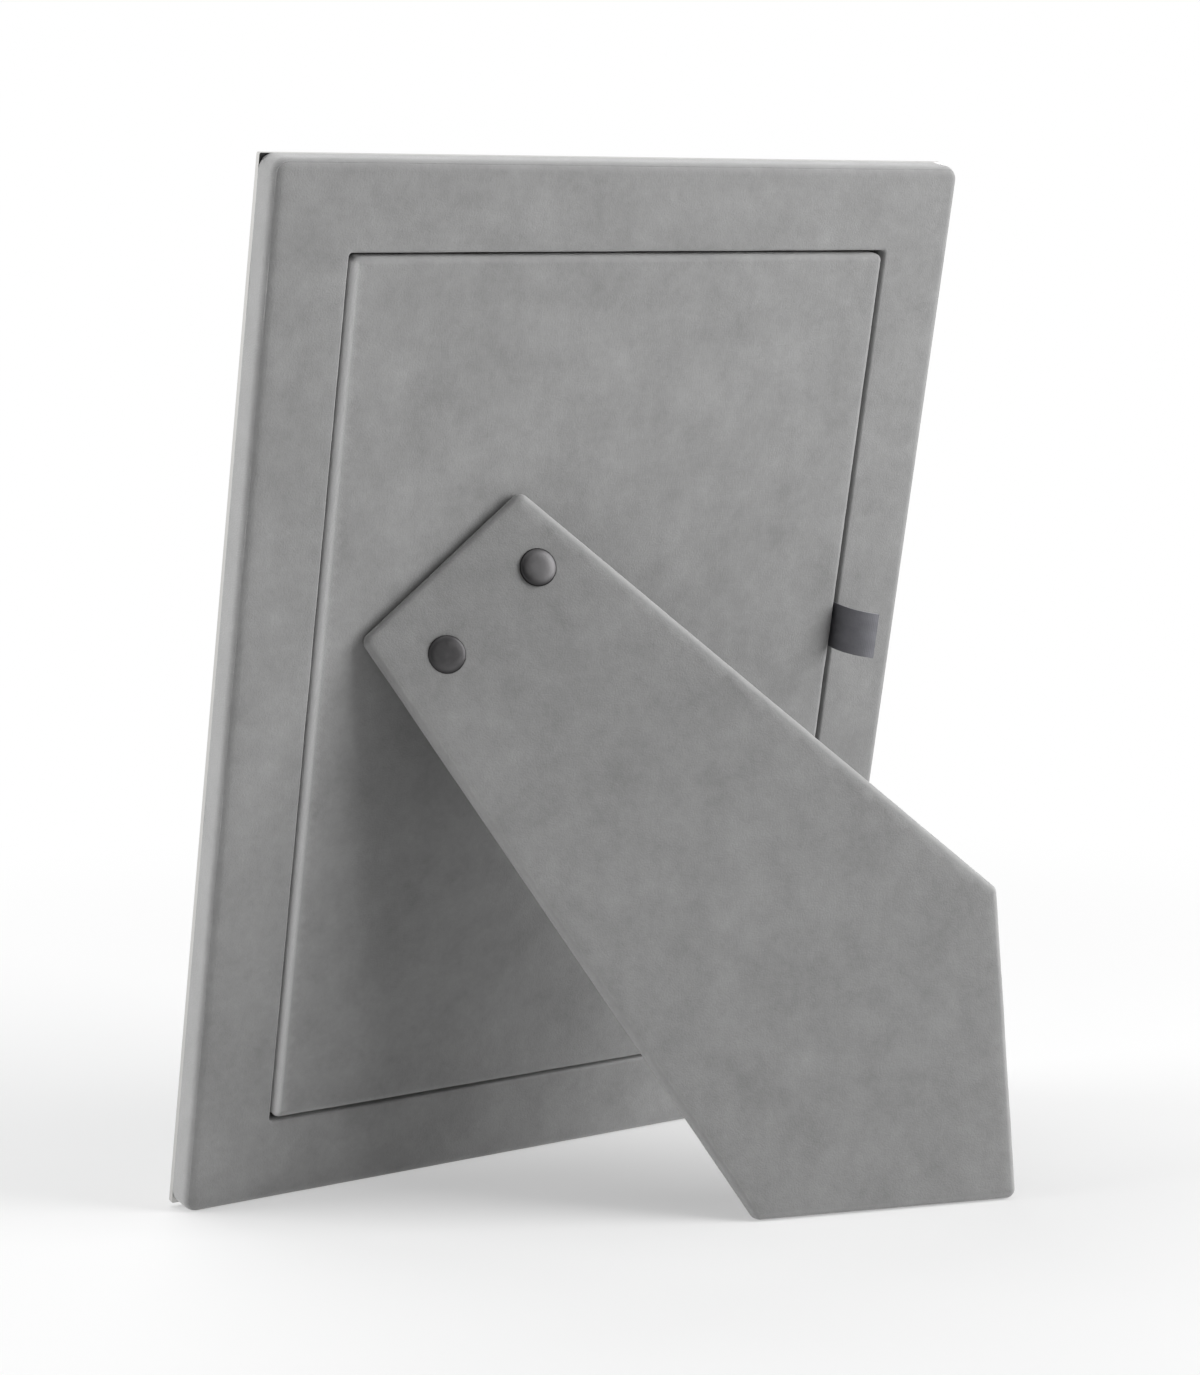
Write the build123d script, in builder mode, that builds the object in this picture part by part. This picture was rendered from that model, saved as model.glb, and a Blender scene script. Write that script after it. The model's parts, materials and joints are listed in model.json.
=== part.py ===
from build123d import *

import os
from math import atan, atan2, cos, hypot, radians, sin, tan

# Picture: a 13 x 18 cm print, loose in its pocket, and the ledge round it that the back panel rests on
photo_width = 127.0
photo_height = 178.0
photo_play = 0.5
side_ledge = 3.0
end_ledge = 1.5

# Frame, seen from behind: the border round the back panel, and the roundings
border = 18.0
ring_corner = 3.0
ring_edge = 2.2
window_corner = 0.8
window_edge = 0.6

# Velvet on the ring, the panel and the strut, pile included, and the paper on their inner faces
velvet = 0.6
lining = 0.3
lining_inset = 1.5

# Picture stack: the print between the glass and a card
glass_thickness = 2.0
glass_play = 0.3
print_play = 0.05
print_thickness = 0.2
card_thickness = 0.6
stack_play = 0.05

# Metal front moulding: a plate with a bead along its outer edge and one along the sight edge
plate_thickness = 1.2
plate_corner = 0.4
sight_lap = 3.0
bead_height = 0.8
bead_round = 0.7
outer_bead_inset = 2.0
outer_bead_width = 3.5
sight_bead_width = 2.0

# Back panel: lifts out of the window, and stands a little proud of the ring
panel_board_thickness = 3.0
panel_gap = 0.8
panel_proud = 0.5
panel_corner = 1.5
panel_edge = 1.2

# Ribbon pull tab, glued to the panel's inner face and led out through the gap beside the panel
ribbon_width = 10.0
ribbon_thickness = 0.3
ribbon_from_bottom = 116.3
ribbon_leg = 14.0
ribbon_play = 0.2
ribbon_pivot_height = 0.45
ribbon_pivot_gap = 0.1
ribbon_tail_length = 11.0
ribbon_lift = 66.0

# Strut: a flared board on a slanted hinge, with a square foot corner
hinge_from_left = 50.0
hinge_from_bottom = 131.0
foot_inset = 8.3
strut_opening = 29.0
strut_top_width = 45.0
strut_flare = 8.5
strut_board_thickness = 2.0
strut_corner = 2.0
strut_edge = 1.4
stop_gap = 0.3

# Hinge: a base leaf on the panel, a leaf on the strut, and the pin
pin_radius = 0.8
pin_fit = 0.02
pin_running_fit = 0.05
pin_head_radius = 1.3
pin_head_length = 0.6
pin_end_gap = 0.2
knuckle_radius = 1.5
knuckle_clearance = 0.3
knuckle_side_gap = 0.3
leaf_thickness = 0.8
leaf_corner = 1.5
base_leaf_width = 18.0
base_leaf_length = 14.0
strut_leaf_width = 36.0
strut_leaf_length = 14.0

# Rivets: two through the base leaf and the panel, and two cap rivets through the strut and its leaf, which
# sit a little towards the strut's upper corner
rivet_fit = 0.05
base_rivet_spacing = 10.0
base_rivet_from_pin = 8.0
base_rivet_radius = 1.2
base_head_radius = 2.5
base_head_height = 0.6
base_head_round = 0.5
base_tail_radius = 2.3
base_tail_height = 0.6
strut_rivet_spacing = 26.2
strut_rivet_from_pin = 6.8
strut_rivet_shift = 1.2
post_radius = 1.3
post_foot_radius = 2.8
post_foot_height = 0.5
post_in_cap = 0.5
cap_radius = 3.9
cap_height = 0.8
cap_round = 0.6

# Sizes that follow from those above
pocket_width = photo_width + 2 * photo_play
pocket_height = photo_height + 2 * photo_play
window_width = pocket_width + 2 * side_ledge
window_height = pocket_height + 2 * end_ledge
frame_width = window_width + 2 * border
frame_height = window_height + 2 * border
pane_width = pocket_width - 2 * glass_play
pane_height = pocket_height - 2 * glass_play
sight_width = photo_width - 2 * sight_lap
sight_height = photo_height - 2 * sight_lap
panel_width = window_width - 2 * panel_gap
panel_height = window_height - 2 * panel_gap
panel_cover = velvet + panel_board_thickness
seat_depth = panel_cover + lining - panel_proud
board_inner = lining - seat_depth
print_back = glass_thickness + print_play + print_thickness
stack_depth = print_back + card_thickness + stack_play
ring_depth = seat_depth + stack_depth
front_depth = ring_depth + plate_thickness + bead_height
hinge_height = knuckle_radius + knuckle_clearance
strut_inner = hinge_height
strut_wall = strut_inner + lining
strut_outer = strut_wall + strut_board_thickness + velvet
leaf_under = strut_inner - leaf_thickness
knuckle_window = base_leaf_width + 2 * knuckle_side_gap
knuckle_length = (strut_leaf_width - knuckle_window) / 2

# How it stands: folded, the foot edge is level with the frame's bottom edge. The strut swings out about
# the slanted hinge line, and the frame leans back until that edge lies along the floor.
hinge_x = hinge_from_left - frame_width / 2
hinge_z = panel_proud + hinge_height
foot_x = frame_width / 2 - foot_inset
slant = atan2(foot_x - hinge_x, hinge_from_bottom)
opening = radians(strut_opening)
flare = tan(radians(strut_flare))
lean = atan(cos(slant) * tan(opening / 2))
bottom_lift = ring_edge * (1 - cos(lean) - sin(lean))

# Distance from the pin to the foot corner, along the middle of the strut, that puts the foot on the floor
pin_rise = hinge_from_bottom * cos(lean) - hinge_z * sin(lean) + bottom_lift
wall_rise = strut_wall * (sin(opening) * cos(slant) * cos(lean) - cos(opening) * sin(lean))
fall_rate = cos(slant) * cos(opening) * cos(lean) + sin(opening) * sin(lean)
foot_reach = (pin_rise + wall_rise) / fall_rate

# The strut's top end meets the panel when it is open, which stops it there
top_overhang = (hinge_height + strut_wall * cos(opening) - stop_gap) / sin(opening)

# Strut's outline, as distance below the pin and along the hinge: its two foot edges are square to each
# other and, folded, in line with the frame's sides
foot_spread = strut_top_width / 2 + (foot_reach + top_overhang) * flare
foot_edge = foot_spread / (cos(slant) + sin(slant) * flare)
side_edge = foot_spread / (sin(slant) + cos(slant) * flare)
strut_points = [
    (-top_overhang, -strut_top_width / 2),
    (foot_reach - foot_edge * sin(slant), -foot_edge * cos(slant)),
    (foot_reach, 0),
    (foot_reach - side_edge * cos(slant), side_edge * sin(slant)),
    (-top_overhang, strut_top_width / 2),
]

# Reach of the bottom bead forwards and of the foot corner backwards of the bottom edge, which centres the
# standing frame over the origin
bead_y = outer_bead_inset + bead_round
bead_z = bead_round - front_depth
front_reach = bead_y * sin(lean) + bead_z * cos(lean) - bead_round
back_per_length = sin(opening) * cos(lean) - cos(opening) * cos(slant) * sin(lean)
back_per_width = sin(slant) * sin(lean)
back_per_height = cos(opening) * cos(lean) + sin(opening) * cos(slant) * sin(lean)
corner_length = foot_reach - strut_corner * (cos(slant) + sin(slant))
corner_width = strut_corner * (sin(slant) - cos(slant))
corner_bulge = (strut_corner - strut_edge) * hypot(back_per_length, back_per_width) + strut_edge
pin_reach = hinge_from_bottom * sin(lean) + hinge_z * cos(lean)
back_reach = (
    pin_reach
    + corner_length * back_per_length
    + corner_width * back_per_width
    + (strut_outer - strut_edge) * back_per_height
    + corner_bulge
)
bottom_edge = Vector(0, -(front_reach + back_reach) / 2, bottom_lift)

# Plane of the ring's back face: x to the right seen from behind, y up the frame, z out of the back
up_frame = Vector(0, sin(lean), cos(lean))
out_of_back = Vector(0, cos(lean), -sin(lean))
back = Plane(bottom_edge + up_frame * (frame_height / 2), x_dir=(-1, 0, 0), z_dir=out_of_back)
back_axis = Axis(back.origin, back.z_dir)

# Planes at the pin: x runs down the strut, folded and open, and y along the hinge line
pin_point = back.from_local_coords((hinge_x, hinge_from_bottom - frame_height / 2, hinge_z))
down_folded = back.x_dir * sin(slant) - back.y_dir * cos(slant)
down_open = down_folded * cos(opening) + out_of_back * sin(opening)
off_open = out_of_back * cos(opening) - down_folded * sin(opening)
along_hinge = back.x_dir * cos(slant) + back.y_dir * sin(slant)
folded = Plane(pin_point, x_dir=down_folded, z_dir=out_of_back)
opened = Plane(pin_point, x_dir=down_open, z_dir=off_open)
open_axis = Axis(pin_point, off_open)


def across_hinge(along):
    """Plane square to the hinge line, that far along it from the middle."""
    return Plane(pin_point + along_hinge * along, x_dir=down_folded, z_dir=along_hinge)


def rivet_circles(radius, from_pin, spacing, shift=0):
    """Two circles on the current sketch, one for each rivet of a leaf, shifted along the hinge."""
    with Locations((from_pin, shift - spacing / 2), (from_pin, shift + spacing / 2)):
        Circle(radius)


def base_rivet_circles(radius):
    """Circles for the base leaf's rivets."""
    rivet_circles(radius, base_rivet_from_pin, base_rivet_spacing)


def strut_rivet_circles(radius):
    """Circles for the strut leaf's rivets."""
    rivet_circles(radius, strut_rivet_from_pin, strut_rivet_spacing, strut_rivet_shift)


def strut_face(inset, corner):
    """The strut's outline on the current sketch, drawn in by inset, with round corners."""
    Polygon(*strut_points, align=None)
    if inset:
        offset(amount=-inset, kind=Kind.INTERSECTION, mode=Mode.REPLACE)
    fillet(vertices(), corner)


def hinge_rod(start, length, radius, mode=Mode.ADD):
    """Round rod on the hinge line, added to the current part or cut from it."""
    with BuildSketch(across_hinge(start)) as section:
        Circle(radius)
    extrude(section.sketch, amount=length, mode=mode)


def outermost(part, axis):
    """The part's furthest flat face along an axis."""
    return part.faces().filter_by(GeomType.PLANE).sort_by(axis)[-1]


# Ring core: board ring, with a rebate for the panel behind and the picture pocket in front
with BuildPart() as ring_core:
    with BuildSketch(back.offset(-ring_depth)):
        RectangleRounded(frame_width - 2 * velvet, frame_height - 2 * velvet, ring_corner - velvet)
        Rectangle(pocket_width, pocket_height, mode=Mode.SUBTRACT)
    extrude(amount=ring_depth - velvet)
    fillet(outermost(ring_core, back_axis).outer_wire().edges(), ring_edge - velvet)
    with BuildSketch(back.offset(-velvet)):
        RectangleRounded(window_width + 2 * velvet, window_height + 2 * velvet, window_corner + velvet)
    extrude(amount=velvet - seat_depth, mode=Mode.SUBTRACT)

# Ring velvet: over the sides and the back, and turned into the window as far as the panel's seat
with BuildPart() as ring_velvet:
    with BuildSketch(back.offset(-ring_depth)):
        RectangleRounded(frame_width, frame_height, ring_corner)
        RectangleRounded(window_width, window_height, window_corner, mode=Mode.SUBTRACT)
    extrude(amount=ring_depth)
    fillet(outermost(ring_velvet, back_axis).outer_wire().edges(), ring_edge)
    fillet(outermost(ring_velvet, back_axis).inner_wires()[0].edges(), window_edge)
    add(ring_core.part, mode=Mode.SUBTRACT)

# Front moulding
with BuildPart() as front_moulding:
    with BuildSketch(back.offset(-ring_depth)):
        RectangleRounded(frame_width, frame_height, plate_corner)
        Rectangle(sight_width, sight_height, mode=Mode.SUBTRACT)
    extrude(amount=-plate_thickness)
    with BuildSketch(back.offset(-ring_depth - plate_thickness)):
        Rectangle(frame_width - 2 * outer_bead_inset, frame_height - 2 * outer_bead_inset)
        offset(amount=-outer_bead_width, kind=Kind.INTERSECTION, mode=Mode.SUBTRACT)
    extrude(amount=-bead_height)
    with BuildSketch(back.offset(-ring_depth - plate_thickness)):
        Rectangle(sight_width + 2 * sight_bead_width, sight_height + 2 * sight_bead_width)
        Rectangle(sight_width, sight_height, mode=Mode.SUBTRACT)
    extrude(amount=-bead_height)
    bead_tops = front_moulding.faces().filter_by(GeomType.PLANE).group_by(back_axis)[0]
    fillet(bead_tops.edges(), bead_round)

# Picture stack, from the moulding back: glass, print and card
with BuildPart() as glass_pane:
    with BuildSketch(back.offset(-ring_depth)):
        Rectangle(pane_width, pane_height)
    extrude(amount=glass_thickness)

with BuildPart() as photo_print:
    with BuildSketch(back.offset(glass_thickness + print_play - ring_depth)):
        Rectangle(photo_width, photo_height)
    extrude(amount=print_thickness)

with BuildPart() as backing_card:
    with BuildSketch(back.offset(print_back - ring_depth)):
        Rectangle(pane_width, pane_height)
    extrude(amount=card_thickness)

# Section plane of the ribbon: x to the right from the panel's edge, y out of the back
ribbon_y = ribbon_from_bottom - frame_height / 2
ribbon_edge = back.from_local_coords((panel_width / 2, ribbon_y, 0))
ribbon_section = Plane(ribbon_edge, x_dir=back.x_dir, z_dir=-back.y_dir)
ribbon_x = panel_gap / 2
riser_top = ribbon_pivot_height - ribbon_thickness / 2 - ribbon_pivot_gap
leg_run = ribbon_leg + ribbon_x + ribbon_thickness / 2
riser_rise = riser_top - board_inner

# Pull ribbon's glued leg, and its riser through the gap
with BuildPart() as ribbon_leg_strip:
    with BuildSketch(ribbon_section):
        with Locations((-ribbon_leg, board_inner)):
            Rectangle(leg_run, ribbon_thickness, align=(Align.MIN, Align.MIN))
        with Locations((ribbon_x, board_inner)):
            Rectangle(ribbon_thickness, riser_rise, align=(Align.CENTER, Align.MIN))
    extrude(amount=ribbon_width / 2, both=True)

# Room for the leg in the panel's board and under the velvet on its edge
with BuildPart() as ribbon_slot:
    with BuildSketch(ribbon_section):
        with Locations((-ribbon_leg, board_inner)):
            Rectangle(leg_run, ribbon_thickness, align=(Align.MIN, Align.MIN))
    extrude(amount=ribbon_width / 2 + ribbon_play, both=True)

# Pull ribbon's tail: bends about a line at the mouth of the gap
pivot_point = ribbon_edge + back.x_dir * ribbon_x + back.z_dir * ribbon_pivot_height
lift = radians(ribbon_lift)
tail_dir = back.x_dir * cos(lift) + back.z_dir * sin(lift)
with BuildPart() as ribbon_tail:
    with BuildSketch(Plane(pivot_point, x_dir=tail_dir, z_dir=-back.y_dir)):
        Rectangle(ribbon_tail_length, ribbon_thickness, align=(Align.MIN, Align.CENTER))
        Circle(ribbon_thickness / 2)
    extrude(amount=ribbon_width / 2, both=True)

# Panel board: with holes for the base rivets, their sunk tails and the ribbon's leg
with BuildPart() as panel_board:
    with BuildSketch(back.offset(board_inner)):
        RectangleRounded(panel_width - 2 * velvet, panel_height - 2 * velvet, panel_corner - velvet)
    extrude(amount=panel_board_thickness)
    fillet(outermost(panel_board, back_axis).edges(), panel_edge - velvet)
    add(ribbon_slot.part, mode=Mode.SUBTRACT)
    with BuildSketch(folded.offset(-hinge_height)):
        base_rivet_circles(base_rivet_radius + rivet_fit)
    extrude(amount=-panel_cover, mode=Mode.SUBTRACT)
    with BuildSketch(folded.offset(-hinge_height - panel_cover)):
        base_rivet_circles(base_tail_radius + rivet_fit)
    extrude(amount=base_tail_height, mode=Mode.SUBTRACT)

# Panel velvet: over the back and the edges of the board
with BuildPart() as panel_velvet:
    with BuildSketch(back.offset(board_inner)):
        RectangleRounded(panel_width, panel_height, panel_corner)
    extrude(amount=panel_cover)
    fillet(outermost(panel_velvet, back_axis).edges(), panel_edge)
    with BuildSketch(back.offset(board_inner)):
        RectangleRounded(panel_width - 2 * velvet, panel_height - 2 * velvet, panel_corner - velvet)
    extrude(amount=panel_board_thickness, mode=Mode.SUBTRACT)
    add(ribbon_slot.part, mode=Mode.SUBTRACT)
    with BuildSketch(folded.offset(-hinge_height)):
        base_rivet_circles(base_rivet_radius + rivet_fit)
    extrude(amount=-panel_cover, mode=Mode.SUBTRACT)

with BuildPart() as panel_lining:
    with BuildSketch(back.offset(board_inner)):
        Rectangle(panel_width - 2 * lining_inset, panel_height - 2 * lining_inset)
    extrude(amount=-lining)

# Hinge base leaf: lies on the panel, with its knuckle on the pin
with BuildPart() as hinge_base_leaf:
    with BuildSketch(folded.offset(-hinge_height)):
        with Locations((base_leaf_length / 2, 0)):
            Rectangle(base_leaf_length, base_leaf_width)
        fillet(vertices().group_by(Axis.X)[-1], leaf_corner)
    extrude(amount=leaf_thickness)
    hinge_rod(-base_leaf_width / 2, base_leaf_width, knuckle_radius)
    hinge_rod(-base_leaf_width / 2, base_leaf_width, pin_radius + pin_fit, Mode.SUBTRACT)
    with BuildSketch(folded.offset(-hinge_height)):
        base_rivet_circles(base_rivet_radius + rivet_fit)
    extrude(amount=leaf_thickness, mode=Mode.SUBTRACT)

# Hinge pin: peened at both ends
pin_span = strut_leaf_width + 2 * pin_end_gap
with BuildPart() as hinge_pin:
    hinge_rod(-pin_span / 2, pin_span, pin_radius)
    hinge_rod(-pin_span / 2, -pin_head_length, pin_head_radius)
    hinge_rod(pin_span / 2, pin_head_length, pin_head_radius)

# Base rivets: head on the leaf, shank through the panel, tail sunk in the board
with BuildPart() as base_rivets:
    with BuildSketch(folded.offset(leaf_thickness - hinge_height)):
        base_rivet_circles(base_head_radius)
    extrude(amount=base_head_height)
    fillet(faces().group_by(back_axis)[-1].edges(), base_head_round)
    with BuildSketch(folded.offset(leaf_thickness - hinge_height)):
        base_rivet_circles(base_rivet_radius)
    extrude(amount=-leaf_thickness - panel_cover)
    with BuildSketch(folded.offset(-hinge_height - panel_cover)):
        base_rivet_circles(base_tail_radius)
    extrude(amount=base_tail_height - rivet_fit)

# Holes for the strut's rivets, through everything between the leaf and the caps
with BuildPart() as strut_rivet_holes:
    with BuildSketch(opened.offset(leaf_under)):
        strut_rivet_circles(post_radius + rivet_fit)
    extrude(amount=strut_outer - leaf_under)

# Strut board, the velvet over its outer face and edges, and the lining of its inner face
with BuildPart() as strut_board:
    with BuildSketch(opened.offset(strut_wall)):
        strut_face(velvet, strut_corner - velvet)
    extrude(amount=strut_board_thickness)
    add(strut_rivet_holes.part, mode=Mode.SUBTRACT)

with BuildPart() as strut_velvet:
    with BuildSketch(opened.offset(strut_wall)):
        strut_face(0, strut_corner)
    extrude(amount=strut_outer - strut_wall)
    fillet(outermost(strut_velvet, open_axis).edges(), strut_edge)
    with BuildSketch(opened.offset(strut_wall)):
        strut_face(velvet, strut_corner - velvet)
    extrude(amount=strut_board_thickness, mode=Mode.SUBTRACT)
    add(strut_rivet_holes.part, mode=Mode.SUBTRACT)

with BuildPart() as strut_lining:
    with BuildSketch(opened.offset(strut_inner)):
        strut_face(lining_inset, strut_corner)
    extrude(amount=lining)
    add(strut_rivet_holes.part, mode=Mode.SUBTRACT)

# Hinge strut leaf: under the strut, with a knuckle at each side of the base leaf's
with BuildPart() as hinge_strut_leaf:
    with BuildSketch(opened.offset(leaf_under)):
        with Locations((strut_leaf_length / 2, 0)):
            Rectangle(strut_leaf_length, strut_leaf_width)
        fillet(vertices().group_by(Axis.X)[-1], leaf_corner)
        Rectangle(2 * hinge_height, knuckle_window, mode=Mode.SUBTRACT)
    extrude(amount=leaf_thickness)
    for knuckle_start in (-strut_leaf_width / 2, knuckle_window / 2):
        hinge_rod(knuckle_start, knuckle_length, knuckle_radius)
        hinge_rod(knuckle_start, knuckle_length, pin_radius + pin_running_fit, Mode.SUBTRACT)
    add(strut_rivet_holes.part, mode=Mode.SUBTRACT)

# Strut rivets: posts from below the leaf, and round caps on the velvet
with BuildPart() as strut_rivet_posts:
    with BuildSketch(opened.offset(leaf_under)):
        strut_rivet_circles(post_foot_radius)
    extrude(amount=-post_foot_height)
    with BuildSketch(opened.offset(leaf_under)):
        strut_rivet_circles(post_radius)
    extrude(amount=strut_outer + post_in_cap - leaf_under)

with BuildPart() as strut_rivet_caps:
    with BuildSketch(opened.offset(strut_outer)):
        strut_rivet_circles(cap_radius)
    extrude(amount=cap_height)
    fillet(faces().group_by(open_axis)[-1].edges(), cap_round)
    with BuildSketch(opened.offset(strut_outer)):
        strut_rivet_circles(post_radius + pin_fit)
    extrude(amount=post_in_cap, mode=Mode.SUBTRACT)

pieces = {
    "front_moulding": front_moulding,
    "ring_core": ring_core,
    "ring_velvet": ring_velvet,
    "glass_pane": glass_pane,
    "photo_print": photo_print,
    "backing_card": backing_card,
    "panel_board": panel_board,
    "panel_velvet": panel_velvet,
    "panel_lining": panel_lining,
    "ribbon_leg": ribbon_leg_strip,
    "ribbon_tail": ribbon_tail,
    "hinge_base_leaf": hinge_base_leaf,
    "hinge_pin": hinge_pin,
    "base_rivets": base_rivets,
    "strut_board": strut_board,
    "strut_velvet": strut_velvet,
    "strut_lining": strut_lining,
    "hinge_strut_leaf": hinge_strut_leaf,
    "strut_rivet_posts": strut_rivet_posts,
    "strut_rivet_caps": strut_rivet_caps,
}

os.makedirs("parts", exist_ok=True)
for label, piece in pieces.items():
    piece.part.label = label
    export_step(piece.part, f"parts/{label}.step")
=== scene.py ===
"""Dresses a strut-back photo frame: velvet, ribbon, rivet caps, metal front, glass and a plain studio.

Fields hold lengths in metres, apart from the camera's lens in millimetres, and angles in degrees.
"""

import json
import logging
from dataclasses import dataclass, replace
from enum import Enum
from math import atan2, cos, exp, pi, radians, sin, sqrt, tan
from typing import Any

import bmesh
import bpy
import numpy as np
from mathutils import Matrix, Vector, geometry, noise


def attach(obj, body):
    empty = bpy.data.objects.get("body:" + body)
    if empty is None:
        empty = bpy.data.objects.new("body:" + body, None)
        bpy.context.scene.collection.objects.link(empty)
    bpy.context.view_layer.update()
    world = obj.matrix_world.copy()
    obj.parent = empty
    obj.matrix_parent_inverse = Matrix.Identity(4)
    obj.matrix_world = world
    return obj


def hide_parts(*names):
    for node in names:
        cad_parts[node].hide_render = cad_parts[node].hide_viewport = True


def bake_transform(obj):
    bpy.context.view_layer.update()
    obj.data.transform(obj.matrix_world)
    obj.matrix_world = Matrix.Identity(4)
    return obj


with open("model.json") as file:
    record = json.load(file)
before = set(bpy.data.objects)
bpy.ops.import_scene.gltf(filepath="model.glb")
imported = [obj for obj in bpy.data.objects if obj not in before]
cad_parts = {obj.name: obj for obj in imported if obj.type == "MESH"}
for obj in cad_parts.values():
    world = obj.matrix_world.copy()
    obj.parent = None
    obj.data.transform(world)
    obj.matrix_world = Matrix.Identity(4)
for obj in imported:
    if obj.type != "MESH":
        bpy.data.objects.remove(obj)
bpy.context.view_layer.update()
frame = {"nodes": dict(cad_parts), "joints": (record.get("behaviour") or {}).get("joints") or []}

log = logging.getLogger("photo_frame")
JOINTS: dict[str, dict[str, Any]] = {joint["name"]: joint for joint in frame["joints"]}
Colour = tuple[float, float, float, float]
Triple = tuple[float, float, float]
Socket = bpy.types.NodeSocket


class Body(Enum):
    """The bodies that the pieces ride on."""

    FRAME = "frame"
    PANEL = "back_panel"
    STRUT = "strut"
    RIBBON = "ribbon"


class Slot(Enum):
    """The record's material slots."""

    VELVET = "grey_velvet"
    RIBBON = "ribbon_satin"
    SILVER = "silver_plate"
    NICKEL = "nickel_plate"
    STEEL = "hinge_steel"
    FIBREBOARD = "fibreboard"
    HARDBOARD = "hardboard"
    LINING = "lining_paper"
    GLASS = "clear_glass"
    PRINT = "print_paper"
    CARD = "grey_card"


class Kind(Enum):
    """The kinds of sockets that the node groups have."""

    VALUE = "NodeSocketFloat"
    COUNT = "NodeSocketInt"
    VECTOR = "NodeSocketVector"
    MATERIAL = "NodeSocketMaterial"
    GEOMETRY = "NodeSocketGeometry"


@dataclass(frozen=True)
class Basis:
    """Right-handed axes with an origin, in the frame's coordinates."""

    origin: Vector
    x: Vector
    y: Vector
    z: Vector

    def matrix(self) -> Matrix:
        """The transform from this basis to the frame."""
        return Matrix.Translation(self.origin) @ Matrix((self.x, self.y, self.z)).transposed().to_4x4()

    def place(self, x: float, y: float, z: float) -> Vector:
        """The frame's point for a point of this basis."""
        return self.origin + self.x * x + self.y * y + self.z * z

    def local(self, point: Vector) -> Vector:
        """The point of this basis for a point of the frame."""
        offset = point - self.origin
        return Vector((offset.dot(self.x), offset.dot(self.y), offset.dot(self.z)))

    def points(self, node: str) -> np.ndarray:
        """A CAD node's vertices in this basis, each a row of three coordinates."""
        vertices = np.array([vertex.co for vertex in frame["nodes"][node].data.vertices])
        return (vertices - np.array(self.origin)) @ np.array([self.x, self.y, self.z]).T

    def box(self, node: str) -> tuple[Vector, Vector]:
        """A CAD node's lowest and highest corner in this basis."""
        points = self.points(node)
        return Vector(points.min(0)), Vector(points.max(0))


def back_basis() -> Basis:
    """Axes on the middle of the ring's back: x to the right seen from behind, y up and z outwards.

    Returns:
        The back's axes.
    """
    out = Vector(JOINTS["panel_lift"]["axis"])
    up = Vector(JOINTS["ribbon_flex"]["axis"])
    loose = Basis(Vector(), up.cross(out), up, out)
    low, high = loose.box("ring_velvet")
    middle = (low + high) / 2
    return replace(loose, origin=loose.place(middle.x, middle.y, high.z))


def strut_basis(back: Basis) -> Basis:
    """Axes on the hinge pin: x down the strut, y along the hinge, z out of the strut's outer face.

    Args:
        back: The back face's axes, which the outer face looks away from.

    Returns:
        The strut's axes at rest.
    """
    faces = [face for face in frame["nodes"]["strut_velvet"].data.polygons if face.normal.dot(back.z) > 0]
    out = max(faces, key=lambda face: face.area).normal.copy()
    along = Vector(JOINTS["strut_fold"]["axis"])
    return Basis(Vector(JOINTS["strut_fold"]["pos_m"]), along.cross(out), along, out)


@dataclass(frozen=True)
class Graph:
    """A node tree, with short calls that add nodes and join them."""

    tree: bpy.types.NodeTree

    def add(self, kind: str, inputs: dict[Any, Any] | None = None, **settings: Any) -> bpy.types.Node:
        """Adds a node.

        Args:
            kind: The node's type.
            inputs: Values or output sockets for its inputs, by name or number.
            settings: The node's own options.

        Returns:
            The new node.
        """
        node = self.tree.nodes.new(kind)
        for key, value in settings.items():
            setattr(node, key, value)
        for key, value in (inputs or {}).items():
            if isinstance(value, Socket):
                self.tree.links.new(value, node.inputs[key])
            else:
                node.inputs[key].default_value = value
        return node

    def out(self, kind: str, inputs: dict[Any, Any] | None = None, **settings: Any) -> Socket:
        """Adds a node and returns its first output."""
        return self.add(kind, inputs, **settings).outputs[0]

    def sum(self, operation: str, *values: Any) -> Socket:
        """Adds a Math node and returns its result."""
        return self.out("ShaderNodeMath", dict(enumerate(values)), operation=operation)

    def mix(self, share: Any, first: Any, second: Any) -> Socket:
        """Mixes two colours by a share and returns the result."""
        inputs = {0: share, 6: first, 7: second}
        return self.add("ShaderNodeMix", inputs, data_type="RGBA").outputs[2]

    def ramp(
        self, value: Socket, start: float, end: float,
        low: float = 0.0, high: float = 1.0, kind: str = "LINEAR",
    ) -> Socket:
        """Maps a value from between start and end to between low and high, and returns the result."""
        inputs = {0: value, 1: start, 2: end, 3: low, 4: high}
        return self.out("ShaderNodeMapRange", inputs, interpolation_type=kind)


def blank_paint(name: str) -> tuple[bpy.types.Material, Graph]:
    """Starts a material with an empty node tree.

    Args:
        name: The material's name.

    Returns:
        The material and its graph.
    """
    paint = bpy.data.materials.new(name)
    paint.use_nodes = True
    paint.node_tree.nodes.clear()
    return paint, Graph(paint.node_tree)


def node_group(
    name: str, kind: str, inputs: dict[str, Kind], output: str, output_kind: Kind
) -> tuple[Graph, dict[str, Socket]]:
    """Starts a node group with one output.

    Args:
        name: The group's name.
        kind: The type of its tree.
        inputs: Each input's name and kind.
        output: The output's name.
        output_kind: The output's kind.

    Returns:
        The group's graph and its input sockets by name.
    """
    tree = bpy.data.node_groups.new(name, kind)
    for label, socket in inputs.items():
        tree.interface.new_socket(label, in_out="INPUT", socket_type=socket.value)
    tree.interface.new_socket(output, in_out="OUTPUT", socket_type=output_kind.value)
    graph = Graph(tree)
    entry = graph.add("NodeGroupInput")
    return graph, {label: entry.outputs[label] for label in inputs}


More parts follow.
